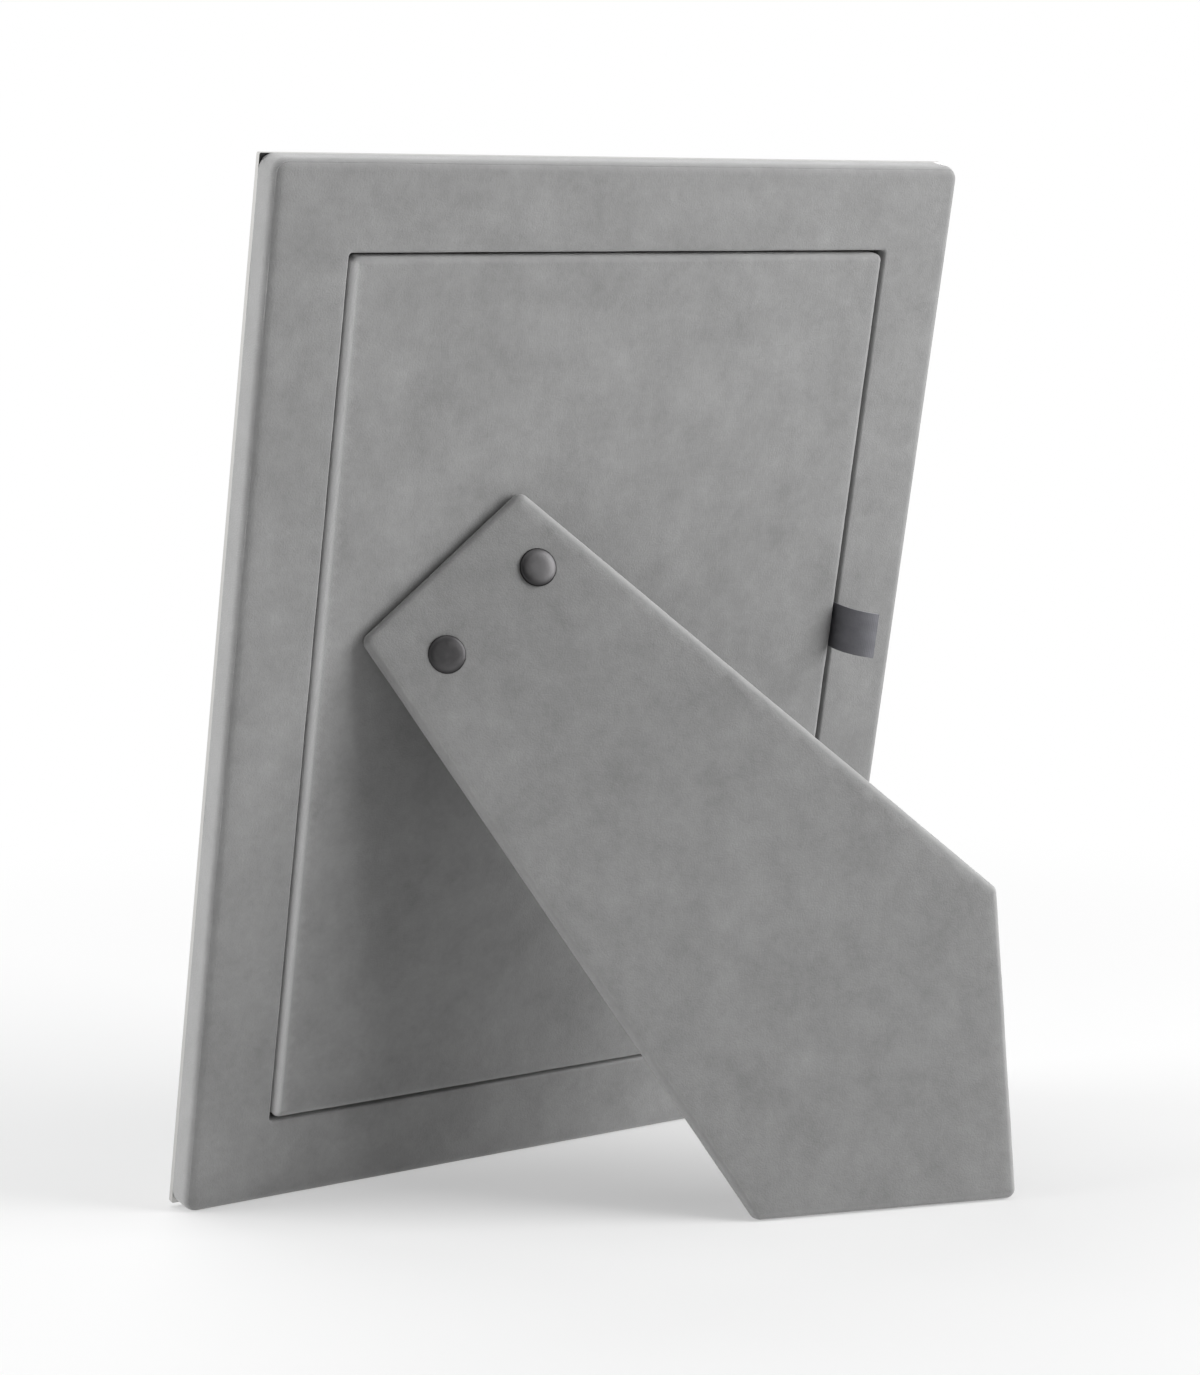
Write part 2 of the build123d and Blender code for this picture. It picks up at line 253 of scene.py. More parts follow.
def mottle_group() -> bpy.types.NodeTree:
    """Soft blotches at three sizes round a tone of one half, for nap, paper, board and plate.

    Returns:
        The group, made once.
    """
    name = "mottle"
    if name in bpy.data.node_groups:
        return bpy.data.node_groups[name]
    kinds = {"Vector": Kind.VECTOR, "Blotches": Kind.VALUE, "Contrast": Kind.VALUE}
    graph, given = node_group(name, "ShaderNodeTree", kinds, "Tone", Kind.VALUE)
    sizes_and_weights = ((1.0, 0.9), (3.1, 0.7), (9.7, 0.5))
    total: Any = 0.0
    for ratio, weight in sizes_and_weights:
        scale = graph.sum("MULTIPLY", given["Blotches"], ratio)
        field = graph.out("ShaderNodeTexNoise", {"Vector": given["Vector"], "Scale": scale, "Detail": 2.0})
        total = graph.sum("MULTIPLY_ADD", graph.sum("SUBTRACT", field, 0.5), weight, total)
    graph.add("NodeGroupOutput", {"Tone": graph.sum("MULTIPLY_ADD", total, given["Contrast"], 0.5)})
    return graph.tree


def grain_group() -> bpy.types.NodeTree:
    """Fine grain, drawn out along an axis where asked, for pile, paper, board fibre and rubbed metal.

    Returns:
        The group, made once.
    """
    name = "grain"
    if name in bpy.data.node_groups:
        return bpy.data.node_groups[name]
    kinds = {"Vector": Kind.VECTOR, "Grains": Kind.VALUE, "Stretch": Kind.VECTOR}
    graph, given = node_group(name, "ShaderNodeTree", kinds, "Height", Kind.VALUE)
    place = {0: given["Vector"], 1: given["Stretch"]}
    drawn = graph.out("ShaderNodeVectorMath", place, operation="MULTIPLY")
    grains = {"Vector": drawn, "Scale": given["Grains"], "Detail": 3.0, "Roughness": 0.65}
    graph.add("NodeGroupOutput", {"Height": graph.out("ShaderNodeTexNoise", grains)})
    return graph.tree


@dataclass(frozen=True)
class Finish:
    """A surface: its two tones, its blotches and grain per metre, its bump and the shader's even values."""

    name: str
    slot: Slot
    dark: Colour
    light: Colour
    blotches: float = 120.0
    contrast: float = 1.0
    grains: float = 2500.0
    stretch: Triple = (1.0, 1.0, 1.0)
    depth: float = 0.00004
    rough: tuple[float, float] = (0.6, 0.8)
    even: tuple[tuple[str, Any], ...] = ()

    def vector(self, graph: Graph) -> Socket:
        """The coordinates that the pattern follows."""
        return graph.add("ShaderNodeTexCoord").outputs["Object"]

    def colour(self, graph: Graph, tone: Socket, grain: Socket) -> Socket:
        """The base colour, from the blotches' tone."""
        return graph.mix(tone, self.dark, self.light)

    def height(self, graph: Graph, grain: Socket) -> Socket:
        """The bump's height, from the grain."""
        return grain

    def material(self) -> bpy.types.Material:
        """The finish's material, made once.

        Returns:
            A material with one Principled shader.
        """
        if self.name in bpy.data.materials:
            return bpy.data.materials[self.name]
        paint, graph = blank_paint(self.name)
        vector = self.vector(graph)
        blotched = {"Vector": vector, "Blotches": self.blotches, "Contrast": self.contrast}
        tone = graph.out("ShaderNodeGroup", blotched, node_tree=mottle_group())
        grained = {"Vector": vector, "Grains": self.grains, "Stretch": self.stretch}
        grain = graph.out("ShaderNodeGroup", grained, node_tree=grain_group())
        bump = graph.out("ShaderNodeBump", {"Height": self.height(graph, grain), "Distance": self.depth})
        inputs = {
            "Base Color": self.colour(graph, tone, grain),
            "Roughness": graph.ramp(tone, 0.0, 1.0, *self.rough),
            "Normal": bump,
            **dict(self.even),
        }
        self.output(graph, graph.out("ShaderNodeBsdfPrincipled", inputs))
        return paint

    def output(self, graph: Graph, shader: Socket) -> None:
        """Joins the shader to the material's output."""
        graph.add("ShaderNodeOutputMaterial", {"Surface": shader})

    def dress(self, piece: bpy.types.Object) -> None:
        """Gives a piece this finish.

        Args:
            piece: The piece.
        """
        piece.data.materials.clear()
        piece.data.materials.append(self.material())


@dataclass(frozen=True)
class VelvetFinish(Finish):
    """Short dense pile: blotched nap, speckled by fibre tips, and paler painted sheen on edges where the
    pile parts.
    """

    speckle: float = 0.35
    # The painted sheen's colour, far paler than the velvet, and the greatest share of it an edge takes.
    painted_sheen: Colour = (0.75, 0.75, 0.75, 1.0)
    painted_sheen_share: float = 0.6

    def colour(self, graph: Graph, tone: Socket, grain: Socket) -> Socket:
        """The blotches' tone, moved a little by each fibre, and paled by painted sheen on the cloth's
        edges.

        Args:
            graph: The material's graph.
            tone: The blotches' tone.
            grain: The grain's height.

        Returns:
            The base colour.
        """
        fleck = graph.sum("SUBTRACT", grain, 0.5)
        pile = graph.mix(graph.sum("MULTIPLY_ADD", fleck, self.speckle, tone), self.dark, self.light)
        # The bend attribute holds how much painted edge sheen each point takes.
        bend = graph.add("ShaderNodeAttribute", attribute_name="bend").outputs["Fac"]
        return graph.mix(graph.sum("MULTIPLY", bend, self.painted_sheen_share), pile, self.painted_sheen)


@dataclass(frozen=True)
class RibbonFinish(Finish):
    """Satin ribbon on its own flat coordinates: fine ribs across it, and painted shade where it leaves the
    gap.
    """

    ribs: float = 2600.0
    rib_height: float = 0.3
    # The stretch from the gap to the free end over which the painted shade lifts, and its colour at the
    # gap.
    gap_end: float = 0.0175
    free_end: float = 0.0285
    painted_gap_shade: Colour = (0.095, 0.095, 0.105, 1.0)

    def colour(self, graph: Graph, tone: Socket, grain: Socket) -> Socket:
        """The blotches' tone, under painted shade at the gap that lifts along the ribbon's length."""
        share = graph.ramp(self.length(graph), self.gap_end, self.free_end)
        return graph.mix(share, self.painted_gap_shade, super().colour(graph, tone, grain))

    def vector(self, graph: Graph) -> Socket:
        """The ribbon's own width and length, in metres."""
        return graph.out("ShaderNodeUVMap", uv_map="ribbon")

    def length(self, graph: Graph) -> Socket:
        """How far along the ribbon a place lies."""
        return graph.add("ShaderNodeSeparateXYZ", {0: self.vector(graph)}).outputs[1]

    def height(self, graph: Graph, grain: Socket) -> Socket:
        """Ribs across the ribbon, broken up by the grain."""
        wave = graph.sum("SINE", graph.sum("MULTIPLY", self.length(graph), 2 * pi * self.ribs))
        return graph.sum("MULTIPLY_ADD", wave, self.rib_height, grain)


@dataclass(frozen=True)
class CapFinish(Finish):
    """Plated caps, darkened towards the rim by painted shade that stands in for dark reflections and dims
    its highlights.
    """

    rim_start: float = 0.62
    painted_rim_shade: Colour = (0.035, 0.034, 0.035, 1.0)

    def colour(self, graph: Graph, tone: Socket, grain: Socket) -> Socket:
        """The plate's tone, with painted shade deepening towards the rim.

        Args:
            graph: The material's graph.
            tone: The blotches' tone.
            grain: The grain's height.

        Returns:
            The base colour.
        """
        # Painted shade: the rim darkens to near black.
        rim = graph.add("ShaderNodeAttribute", attribute_name="rim").outputs["Fac"]
        share = graph.ramp(rim, self.rim_start, 1.0, kind="SMOOTHSTEP")
        return graph.mix(share, super().colour(graph, tone, grain), self.painted_rim_shade)


@dataclass(frozen=True)
class GlassFinish(Finish):
    """Clear glass that lets the lamps through to the print."""

    def output(self, graph: Graph, shader: Socket) -> None:
        """Lets the lamps' light and bounced light pass, so that the print behind the pane is lit evenly.

        Args:
            graph: The material's graph.
            shader: The glass's own shader.
        """
        path = graph.add("ShaderNodeLightPath").outputs
        passing = graph.sum("MAXIMUM", path["Is Shadow Ray"], path["Is Diffuse Ray"])
        clear = graph.out("ShaderNodeBsdfTransparent")
        super().output(graph, graph.out("ShaderNodeMixShader", {0: passing, 1: shader, 2: clear}))


def distance(graph: Graph, place: Socket, basis: Basis, axis: Vector) -> Socket:
    """How far a place lies from a basis's origin along one of its axes."""
    along = graph.add("ShaderNodeVectorMath", {0: place, 1: axis}, operation="DOT_PRODUCT").outputs["Value"]
    return graph.sum("SUBTRACT", along, basis.origin.dot(axis))


@dataclass(frozen=True)
class MouldingFinish(Finish):
    """Silver plate, with a painted dark reflection behind the one top corner that stands out past the
    velvet.
    """

    back: Basis | None = None
    reach: Vector | None = None
    corner: float = 0.004
    edge: float = 0.00008
    corner_reflection_tone: Colour = (0.05, 0.05, 0.05, 1.0)

    def colour(self, graph: Graph, tone: Socket, grain: Socket) -> Socket:
        """The plate's tone, and the painted dark reflection.

        Args:
            graph: The material's graph.
            tone: The blotches' tone.
            grain: The grain's height.

        Returns:
            The base colour.
        """
        plate = super().colour(graph, tone, grain)
        place = self.vector(graph)
        axes = (self.back.x, self.back.y, self.back.z)
        across, up, out = (distance(graph, place, self.back, axis) for axis in axes)
        # Painted dark reflection: the back edge of the top corner is turned near black.
        aside = graph.sum("LESS_THAN", across, self.corner - self.reach.x)
        above = graph.sum("GREATER_THAN", up, self.reach.y - self.corner)
        behind = graph.sum("GREATER_THAN", out, self.reach.z - self.edge)
        painted_reflection = graph.sum("MULTIPLY", graph.sum("MULTIPLY", aside, above), behind)
        return graph.mix(painted_reflection, plate, self.corner_reflection_tone)


@dataclass(frozen=True)
class PrintFinish(Finish):
    """Satin photo paper with a plain view of hills inside a white margin.

    Each ridge has its height on the print, its swing, its bumps per metre and its tone.
    """

    back: Basis | None = None
    half_width: float = 0.0605
    half_height: float = 0.086
    margin: float = 0.005
    horizon: Colour = (0.60, 0.53, 0.45, 1.0)
    zenith: Colour = (0.24, 0.32, 0.41, 1.0)
    ridges: tuple[tuple[float, float, float, Colour], ...] = (
        (0.010, 0.030, 22.0, (0.20, 0.25, 0.28, 1.0)),
        (-0.018, 0.040, 16.0, (0.10, 0.14, 0.15, 1.0)),
        (-0.048, 0.050, 11.0, (0.04, 0.06, 0.055, 1.0)),
    )
    ridge_edge: float = 0.0002

    def colour(self, graph: Graph, tone: Socket, grain: Socket) -> Socket:
        """Sky, three ridges and the margin, by place on the print.

        Args:
            graph: The material's graph.
            tone: The blotches' tone.
            grain: The grain's height.

        Returns:
            The base colour.
        """
        place = self.vector(graph)
        across, up = (distance(graph, place, self.back, axis) for axis in (self.back.x, self.back.y))
        view = graph.mix(graph.ramp(up, -self.half_height, self.half_height), self.horizon, self.zenith)
        for level, swing, bumps, paint in self.ridges:
            line = {"W": graph.sum("ADD", across, level), "Scale": bumps}
            wave = graph.out("ShaderNodeTexNoise", line, noise_dimensions="1D")
            crest = graph.sum("MULTIPLY_ADD", graph.sum("SUBTRACT", wave, 0.5), swing, level)
            below = graph.ramp(graph.sum("SUBTRACT", crest, up), -self.ridge_edge, self.ridge_edge)
            view = graph.mix(below, view, paint)
        inside_x = graph.sum("LESS_THAN", graph.sum("ABSOLUTE", across), self.half_width - self.margin)
        inside_y = graph.sum("LESS_THAN", graph.sum("ABSOLUTE", up), self.half_height - self.margin)
        inside = graph.sum("MULTIPLY", inside_x, inside_y)
        return graph.mix(inside, super().colour(graph, tone, grain), view)


WHITE: Colour = (1.0, 1.0, 1.0, 1.0)
METAL = ("Metallic", 1.0)
VELVET_THICKNESS = 0.0006
VELVET = VelvetFinish(
    "grey velvet", Slot.VELVET, (0.213, 0.213, 0.212, 1.0), (0.310, 0.310, 0.309, 1.0),
    blotches=70.0, contrast=1.0, grains=2600.0, depth=0.00011, rough=(0.92, 1.0),
    even=(("Sheen Weight", 0.45), ("Sheen Roughness", 0.45), ("Specular IOR Level", 0.1)),
)
RIBBON = RibbonFinish(
    "satin ribbon", Slot.RIBBON, (0.360, 0.360, 0.395, 1.0), (0.475, 0.475, 0.520, 1.0),
    blotches=180.0, grains=3500.0, stretch=(1.0, 0.15, 1.0), depth=0.00003, rough=(0.42, 0.55),
    even=(("Sheen Weight", 0.25), ("Sheen Roughness", 0.3), ("Specular IOR Level", 0.45)),
)
SILVER = MouldingFinish(
    "silver plate", Slot.SILVER, (0.56, 0.555, 0.54, 1.0), (0.61, 0.605, 0.59, 1.0),
    blotches=25.0, grains=1800.0, depth=0.0000002, rough=(0.29, 0.31), even=(METAL,),
)
NICKEL = CapFinish(
    "black nickel plate", Slot.NICKEL, (0.110, 0.108, 0.110, 1.0), (0.150, 0.147, 0.150, 1.0),
    blotches=260.0, grains=2500.0, depth=0.000004, rough=(0.34, 0.44),
    even=(METAL, ("Specular Tint", (0.5, 0.5, 0.5, 1.0))),
)
STEEL = Finish(
    "zinc-plated steel", Slot.STEEL, (0.42, 0.42, 0.42, 1.0), (0.58, 0.58, 0.585, 1.0),
    blotches=240.0, grains=1600.0, stretch=(1.0, 9.0, 1.0), depth=0.00001, rough=(0.30, 0.46),
    even=(METAL,),
)
FIBREBOARD = Finish(
    "black fibreboard", Slot.FIBREBOARD, (0.050, 0.048, 0.046, 1.0), (0.085, 0.081, 0.077, 1.0),
    blotches=400.0, grains=3000.0, stretch=(1.0, 1.0, 0.3), depth=0.00006, rough=(0.82, 0.95),
)
HARDBOARD = Finish(
    "hardboard", Slot.HARDBOARD, (0.20, 0.125, 0.075, 1.0), (0.33, 0.22, 0.14, 1.0),
    blotches=500.0, grains=2600.0, stretch=(1.0, 0.35, 1.0), depth=0.00004, rough=(0.6, 0.8),
)
LINING = Finish(
    "lining paper", Slot.LINING, (0.045, 0.045, 0.048, 1.0), (0.075, 0.075, 0.08, 1.0),
    blotches=220.0, grains=2200.0, depth=0.00004, rough=(0.75, 0.9),
)
CARD = Finish(
    "grey card", Slot.CARD, (0.36, 0.34, 0.31, 1.0), (0.50, 0.48, 0.44, 1.0),
    blotches=300.0, grains=2000.0, depth=0.00004, rough=(0.85, 0.95),
)
PRINT = PrintFinish(
    "print paper", Slot.PRINT, (0.66, 0.65, 0.62, 1.0), (0.70, 0.69, 0.66, 1.0),
    grains=2000.0, depth=0.000001, rough=(0.45, 0.55), even=(("Specular IOR Level", 0.2),),
)
GLASS = GlassFinish(
    "clear glass", Slot.GLASS, (0.93, 0.96, 0.95, 1.0), (0.98, 1.0, 0.99, 1.0),
    blotches=6.0, grains=20.0, depth=0.0, rough=(0.0, 0.01),
    even=(("Transmission Weight", 1.0), ("IOR", 1.5)),
)


@dataclass(frozen=True)
class Outline:
    """A convex outline with round corners, counter-clockwise, that can be drawn in and out."""

    corners: tuple[tuple[float, float], ...]
    radius: float
    divisions: tuple[int, ...]
    arc_steps: int = 6

    @classmethod
    def spaced(cls, corners: tuple[tuple[float, float], ...], radius: float, step: float) -> "Outline":
        """An outline whose edges are divided about every step.

        Args:
            corners: The corners, before they are rounded.
            radius: The corners' radius.
            step: The points' spacing.

        Returns:
            The outline.
        """
        ends = corners[1:] + corners[:1]
        lengths = [(Vector(end) - Vector(start)).length for start, end in zip(corners, ends)]
        return cls(corners, radius, tuple(max(1, round(length / step)) for length in lengths))

    @classmethod
    def rectangle(cls, width: float, height: float, radius: float, step: float) -> "Outline":
        """A rectangle about the origin."""
        x, y = width / 2, height / 2
        return cls.spaced(((-x, -y), (x, -y), (x, y), (-x, y)), radius, step)

    def normals(self) -> np.ndarray:
        """The edges' outward directions.

        Returns:
            One row of two coordinates for each edge, from the first corner on.
        """
        corners = np.array(self.corners)
        runs = np.roll(corners, -1, axis=0) - corners
        outward = np.column_stack([runs[:, 1], -runs[:, 0]])
        return outward / np.linalg.norm(outward, axis=1, keepdims=True)

    def loop(self, inset: float = 0.0) -> np.ndarray:
        """The outline's points, drawn in by inset.

        Args:
            inset: How far to draw it in, less than the corners' radius, or out where it is negative.

        Returns:
            One row of two coordinates for each point, always as many.
        """
        normals = self.normals()
        arcs = []
        for index, corner in enumerate(np.array(self.corners)):
            before, after = normals[index - 1], normals[index]
            centre = corner - (before + after) * self.radius / (1 + before @ after)
            turn = atan2(before[0] * after[1] - before[1] * after[0], before @ after)
            angles = atan2(before[1], before[0]) + turn * np.linspace(0, 1, self.arc_steps + 1)
            arcs.append(centre + (self.radius - inset) * np.column_stack([np.cos(angles), np.sin(angles)]))
        stretches = []
        for index, arc in enumerate(arcs):
            onward = arcs[(index + 1) % len(arcs)][0]
            shares = np.linspace(0, 1, self.divisions[index] + 1)[1:-1, None]
            stretches += [arc, arc[-1] + shares * (onward - arc[-1])]
        return np.concatenate(stretches)

    def outward(self) -> np.ndarray:
        """Each of the loop's points' outward direction."""
        return self.loop(-1.0) - self.loop()

    def inner_points(self, margin: float, step: float) -> np.ndarray:
        """Points spread evenly inside the outline, in staggered rows.

        Args:
            margin: The least distance from the outline's edges.
            step: The points' spacing.

        Returns:
            One row of two coordinates for each point.
        """
        corners = np.array(self.corners)
        low, high = corners.min(0), corners.max(0)
        rows = np.arange(low[1], high[1], step * sqrt(3) / 2)
        stagger = (np.arange(len(rows)) % 2) * step / 2
        columns = np.arange(low[0] - step, high[0], step)
        across = (columns[None, :] + stagger[:, None]).ravel()
        spread = np.column_stack([across, np.repeat(rows, len(columns))])
        depth = np.stack([(corner - spread) @ normal for corner, normal in zip(corners, self.normals())])
        return spread[depth.min(0) > margin]


@dataclass(frozen=True)
class Relief:
    """The slight unevenness of cloth stretched over a board."""

    amplitude: float = 0.00006
    wavelength: float = 0.011
    fine_ratio: float = 4.3
    fine_share: float = 0.4

    def apply(self, mesh: bpy.types.Mesh, soft: list[int]) -> None:
        """Moves some of a mesh's points along their normals.

        Args:
            mesh: The mesh.
            soft: The points that lie on the cloth's outer face.
        """
        moves = []
        for index in soft:
            vertex = mesh.vertices[index]
            wide = noise.noise(vertex.co / self.wavelength)
            fine = noise.noise(vertex.co / self.wavelength * self.fine_ratio)
            moves.append(vertex.normal * self.amplitude * (wide + self.fine_share * fine))
        for index, move in zip(soft, moves):
            mesh.vertices[index].co += move


@dataclass(frozen=True)
class Contour:
    """Points at one height, with how much painted edge sheen they take where the pile parts, 0 where it
    lies flat.
    """

    flat: np.ndarray
    height: float
    # How much painted edge sheen the points take.
    bend: np.ndarray | float = 0.0


@dataclass(frozen=True)
class PileSheen:
    """The lie of a velvet's pile, and the painted sheen it sets on edges that face along it and on the
    others.

    The painted sheen fades over an edge, from the wall to the face, where a share is left on edges along
    the lie.
    On edges against the lie, more painted sheen is added halfway round, where the pile stands up.
    """

    lie: tuple[float, float]
    along: float
    across: float
    against: float = 0.0
    fade: float = 2.0
    left: float = 0.0

    def painted_sheen(self, outline: Outline, turn: float = 0.0) -> np.ndarray:
        """How much painted edge sheen each point of an outline takes, where the pile parts.

        Args:
            outline: The outline.
            turn: The angle round its edge from the wall up, in radians.

        Returns:
            One value for each point, 0 where the pile lies flat and takes no painted sheen.
        """
        facing = outline.outward() @ np.array(self.lie)
        along, against = np.maximum(facing, 0.0) ** 2, np.minimum(facing, 0.0) ** 2
        left = self.left * along
        wall = self.across + (self.along - self.across) * along
        faded = wall * (left + (1 - left) * max(cos(turn), 0.0) ** self.fade)
        return faded + self.against * against * sin(2 * turn)


def closed_mesh(name: str, points: list[Any], faces: list[tuple[int, ...]]) -> bpy.types.Mesh:
    """Makes a closed mesh whose faces point outwards.

    Args:
        name: The mesh's name.
        points: Its points.
        faces: The points of each face.

    Returns:
        The mesh.
    """
    mesh = bpy.data.meshes.new(name)
    mesh.from_pydata(points, [], faces)
    turned = bmesh.new()
    turned.from_mesh(mesh)
    bmesh.ops.recalc_face_normals(turned, faces=turned.faces)
    turned.to_mesh(mesh)
    turned.free()
    return mesh


def placed(name: str, data: bpy.types.ID) -> bpy.types.Object:
    """Makes an object of a mesh, a lamp or a camera, and links it to the scene.

    Args:
        name: The object's name.
        data: What it shows.

    Returns:
        The object, at the origin.
    """
    made = bpy.data.objects.new(name, data)
    bpy.context.scene.collection.objects.link(made)
    return made


def finished(name: str, mesh: bpy.types.Mesh, sharp: float = 50.0) -> bpy.types.Object:
    """Makes a smooth-shaded object of a mesh and links it to the scene.

    Args:
        name: The object's name.
        mesh: Its mesh, in the frame's coordinates.
        sharp: The angle in degrees over which an edge stays sharp.

    Returns:
        The object, at the origin.
    """
    mesh.shade_smooth()
    mesh.set_sharp_from_angle(angle=radians(sharp))
    return placed(name, mesh)


class CoverMesh:
    """A thin closed cover, built in a basis from loops of points, walls between them and filled faces."""

    margin_share: float = 0.6
    merge_distance: float = 1e-6
    inside_only: int = 1
    coarse: int = 3

    def __init__(self) -> None:
        """Starts with nothing in it."""
        self.points: list[np.ndarray] = []
        # Each point's painted edge sheen.
        self.bends: list[float] = []
        self.faces: list[tuple[int, ...]] = []
        self.soft: list[int] = []

    def add(self, contour: Contour, soft: bool) -> range:
        """Adds points at one height.

        Args:
            contour: The points.
            soft: Whether they lie on the cloth's outer face.

        Returns:
            The points' numbers.
        """
        numbers = range(len(self.bends), len(self.bends) + len(contour.flat))
        self.points.append(np.column_stack([contour.flat, np.full(len(numbers), contour.height)]))
        self.bends += np.broadcast_to(contour.bend, len(numbers)).tolist()
        self.soft += numbers if soft else []
        return numbers

    def walls(self, loops: list[range]) -> None:
        """Joins each loop to the next by a band of faces.

        Args:
            loops: The loops' points.
        """
        for lower, upper in zip(loops, loops[1:]):
            ahead = [*range(1, len(lower)), 0]
            self.faces += [(lower[a], lower[b], upper[b], upper[a]) for a, b in enumerate(ahead)]

    def fill(self, outline: Outline, rim: range, inset: float, step: float, soft: bool) -> None:
        """Fills a loop with evenly spread points and triangles.

        Args:
            outline: The outline that the loop was drawn from.
            rim: The loop's points.
            inset: How far the loop was drawn in.
            step: The points' spacing.
            soft: Whether the face lies on the cloth's outer face.
        """
        edge = np.concatenate(self.points)[rim.start:rim.stop]
        spread = outline.inner_points(inset + self.margin_share * step, step)
        inner = self.add(Contour(spread, edge[0, 2]), soft)
        flat = [Vector(point) / step for point in np.concatenate([edge[:, :2], spread])]
        sides = [(number, (number + 1) % len(rim)) for number in range(len(rim))]
        filled = geometry.delaunay_2d_cdt(flat, sides, [], self.inside_only, self.merge_distance)
        triangles, origins = filled[2], filled[3]
        numbers = [*rim, *inner]
        self.faces += [tuple(numbers[origins[corner][0]] for corner in triangle) for triangle in triangles]

    def tray(
        self, outline: Outline, skin: list[Contour], inside: list[Contour],
        arris: float, velvet: float, step: float,
    ) -> None:
        """Adds a cover that is open below.

        Args:
            outline: Its outline.
            skin: The loops of its outer side, from the rim up to the face.
            inside: The loops of its inner side, from the face down to the rim.
            arris: How far the face is drawn in.
            velvet: How far the inner face is drawn in.
            step: The face's spacing, which is coarser inside.
        """
        loops = [self.add(contour, True) for contour in skin]
        inner = [self.add(contour, False) for contour in inside]
        self.walls(loops)
        self.walls([*inner, loops[0]])
        self.fill(outline, loops[-1], arris, step, True)
        self.fill(outline, inner[0], velvet, self.coarse * step, False)

    def piece(self, name: str, basis: Basis, relief: Relief) -> bpy.types.Object:
        """Makes the cover's object.

        Args:
            name: The piece's name.
            basis: The axes that it was drawn in.
            relief: The unevenness of its outer face.

        Returns:
            The object, with its place in its mesh.
        """
        mesh = closed_mesh(name, np.concatenate(self.points).tolist(), self.faces)
        # The bend attribute carries each point's painted edge sheen to the velvet's colour.
        mesh.attributes.new("bend", "FLOAT", "POINT").data.foreach_set("value", self.bends)
        relief.apply(mesh, self.soft)
        mesh.transform(basis.matrix())
        return finished(name, mesh)


def quarter(
    outline: Outline, run: float, drop: float, top: float, nap: PileSheen, steps: int = 6
) -> list[Contour]:
    """Loops round an arris, from the wall up to the face.

    Args:
        outline: The wall's outline.
        run: How far the arris reaches in over the face, or out where it is negative.
        drop: How far it reaches down the wall.
        top: The face's height.
        nap: The pile's lie, which sets the painted edge sheen.
        steps: The number of bands.

    Returns:
        The loops.
    """
    contours = []
    for step in range(steps + 1):
        turn = radians(90) * step / steps
        level = top - drop * (1 - sin(turn))
        contours.append(Contour(outline.loop(run * (1 - cos(turn))), level, nap.painted_sheen(outline, turn)))
    return contours


def dressed(finish: Finish, *nodes: str) -> list[bpy.types.Object]:
    """Gives CAD nodes a finish.

    Args:
        finish: The finish.
        nodes: The nodes' names.

    Returns:
        The nodes' objects.
    """
    for node in nodes:
        finish.dress(frame["nodes"][node])
    return [frame["nodes"][node] for node in nodes]


@dataclass
class VelvetRing:
    """The velvet over the frame's sides and back, turned into the window."""

    back: Basis
    corner: float = 0.003
    arris: float = 0.0022
    window_corner: float = 0.0008
    window_arris: float = 0.0006
    panel_gap: float = 0.0008
    velvet: float = VELVET_THICKNESS
    step: float = 0.0016
    # Painted sheen on the cover's outer edges and, fainter, on the window's lip.
    nap: PileSheen = PileSheen((0.0, 1.0), along=0.40, across=0.42)
    window_pile_sheen: PileSheen = PileSheen((-1.0, 0.0), along=0.18, across=0.18)
    side_bands: int = 4
    face_bands: int = 11

    def build(self) -> list[bpy.types.Object]:
        """Builds the cover and dresses it, with the board ring inside it.

        Returns:
            The cover and the ring.
        """
        low, high = self.back.box("ring_velvet")
        panel_low, panel_high = self.back.box("panel_velvet")
        width, height = high.x - low.x, high.y - low.y
        window_width = panel_high.x - panel_low.x + 2 * self.panel_gap
        window_height = panel_high.y - panel_low.y + 2 * self.panel_gap
        seat = self.back.box("panel_lining")[0].z
        outer = Outline.rectangle(width, height, self.corner, self.step)
        window = Outline.rectangle(window_width, window_height, self.window_corner, self.step)
        window = replace(window, divisions=outer.divisions)
        cover = CoverMesh()
        heights = np.linspace(low.z, -self.arris, self.side_bands + 1)[:-1]
        skin = [Contour(outer.loop(), level, self.nap.painted_sheen(outer)) for level in heights]
        skin += quarter(outer, self.arris, self.arris, 0.0, self.nap)
        lip = quarter(window, -self.window_arris, self.window_arris, 0.0, self.window_pile_sheen)[::-1]
        start, end = skin[-1].flat, lip[0].flat
        bands = range(1, self.face_bands)
        skin += [Contour(start + (end - start) * band / self.face_bands, 0.0) for band in bands]
        skin += [*lip, Contour(window.loop(), seat)]
        lining = [
            Contour(window.loop(-self.velvet), seat),
            Contour(window.loop(-self.velvet), -self.velvet),
            Contour(outer.loop(self.velvet), -self.velvet),
            Contour(outer.loop(self.velvet), low.z),
        ]
        loops = [cover.add(contour, True) for contour in skin]
        loops += [cover.add(contour, False) for contour in lining]
        cover.walls([*loops, loops[0]])
        piece = cover.piece("ring_velvet_cover", self.back, Relief())
        VELVET.dress(piece)
        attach(piece, Body.FRAME.value)
        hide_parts("ring_velvet")
        return [piece, *dressed(FIBREBOARD, "ring_core")]


@dataclass
class PictureFront:
    """The metal moulding and the picture behind its glass."""

    back: Basis

    def build(self) -> list[bpy.types.Object]:
        """Dresses the moulding, the glass, the print and the card.

        Returns:
            The four pieces.
        """
        plate = replace(SILVER, back=self.back, reach=self.back.box("front_moulding")[1])
        return [
            *dressed(plate, "front_moulding"),
            *dressed(GLASS, "glass_pane"),
            *dressed(replace(PRINT, back=self.back), "photo_print"),
            *dressed(CARD, "backing_card"),
        ]


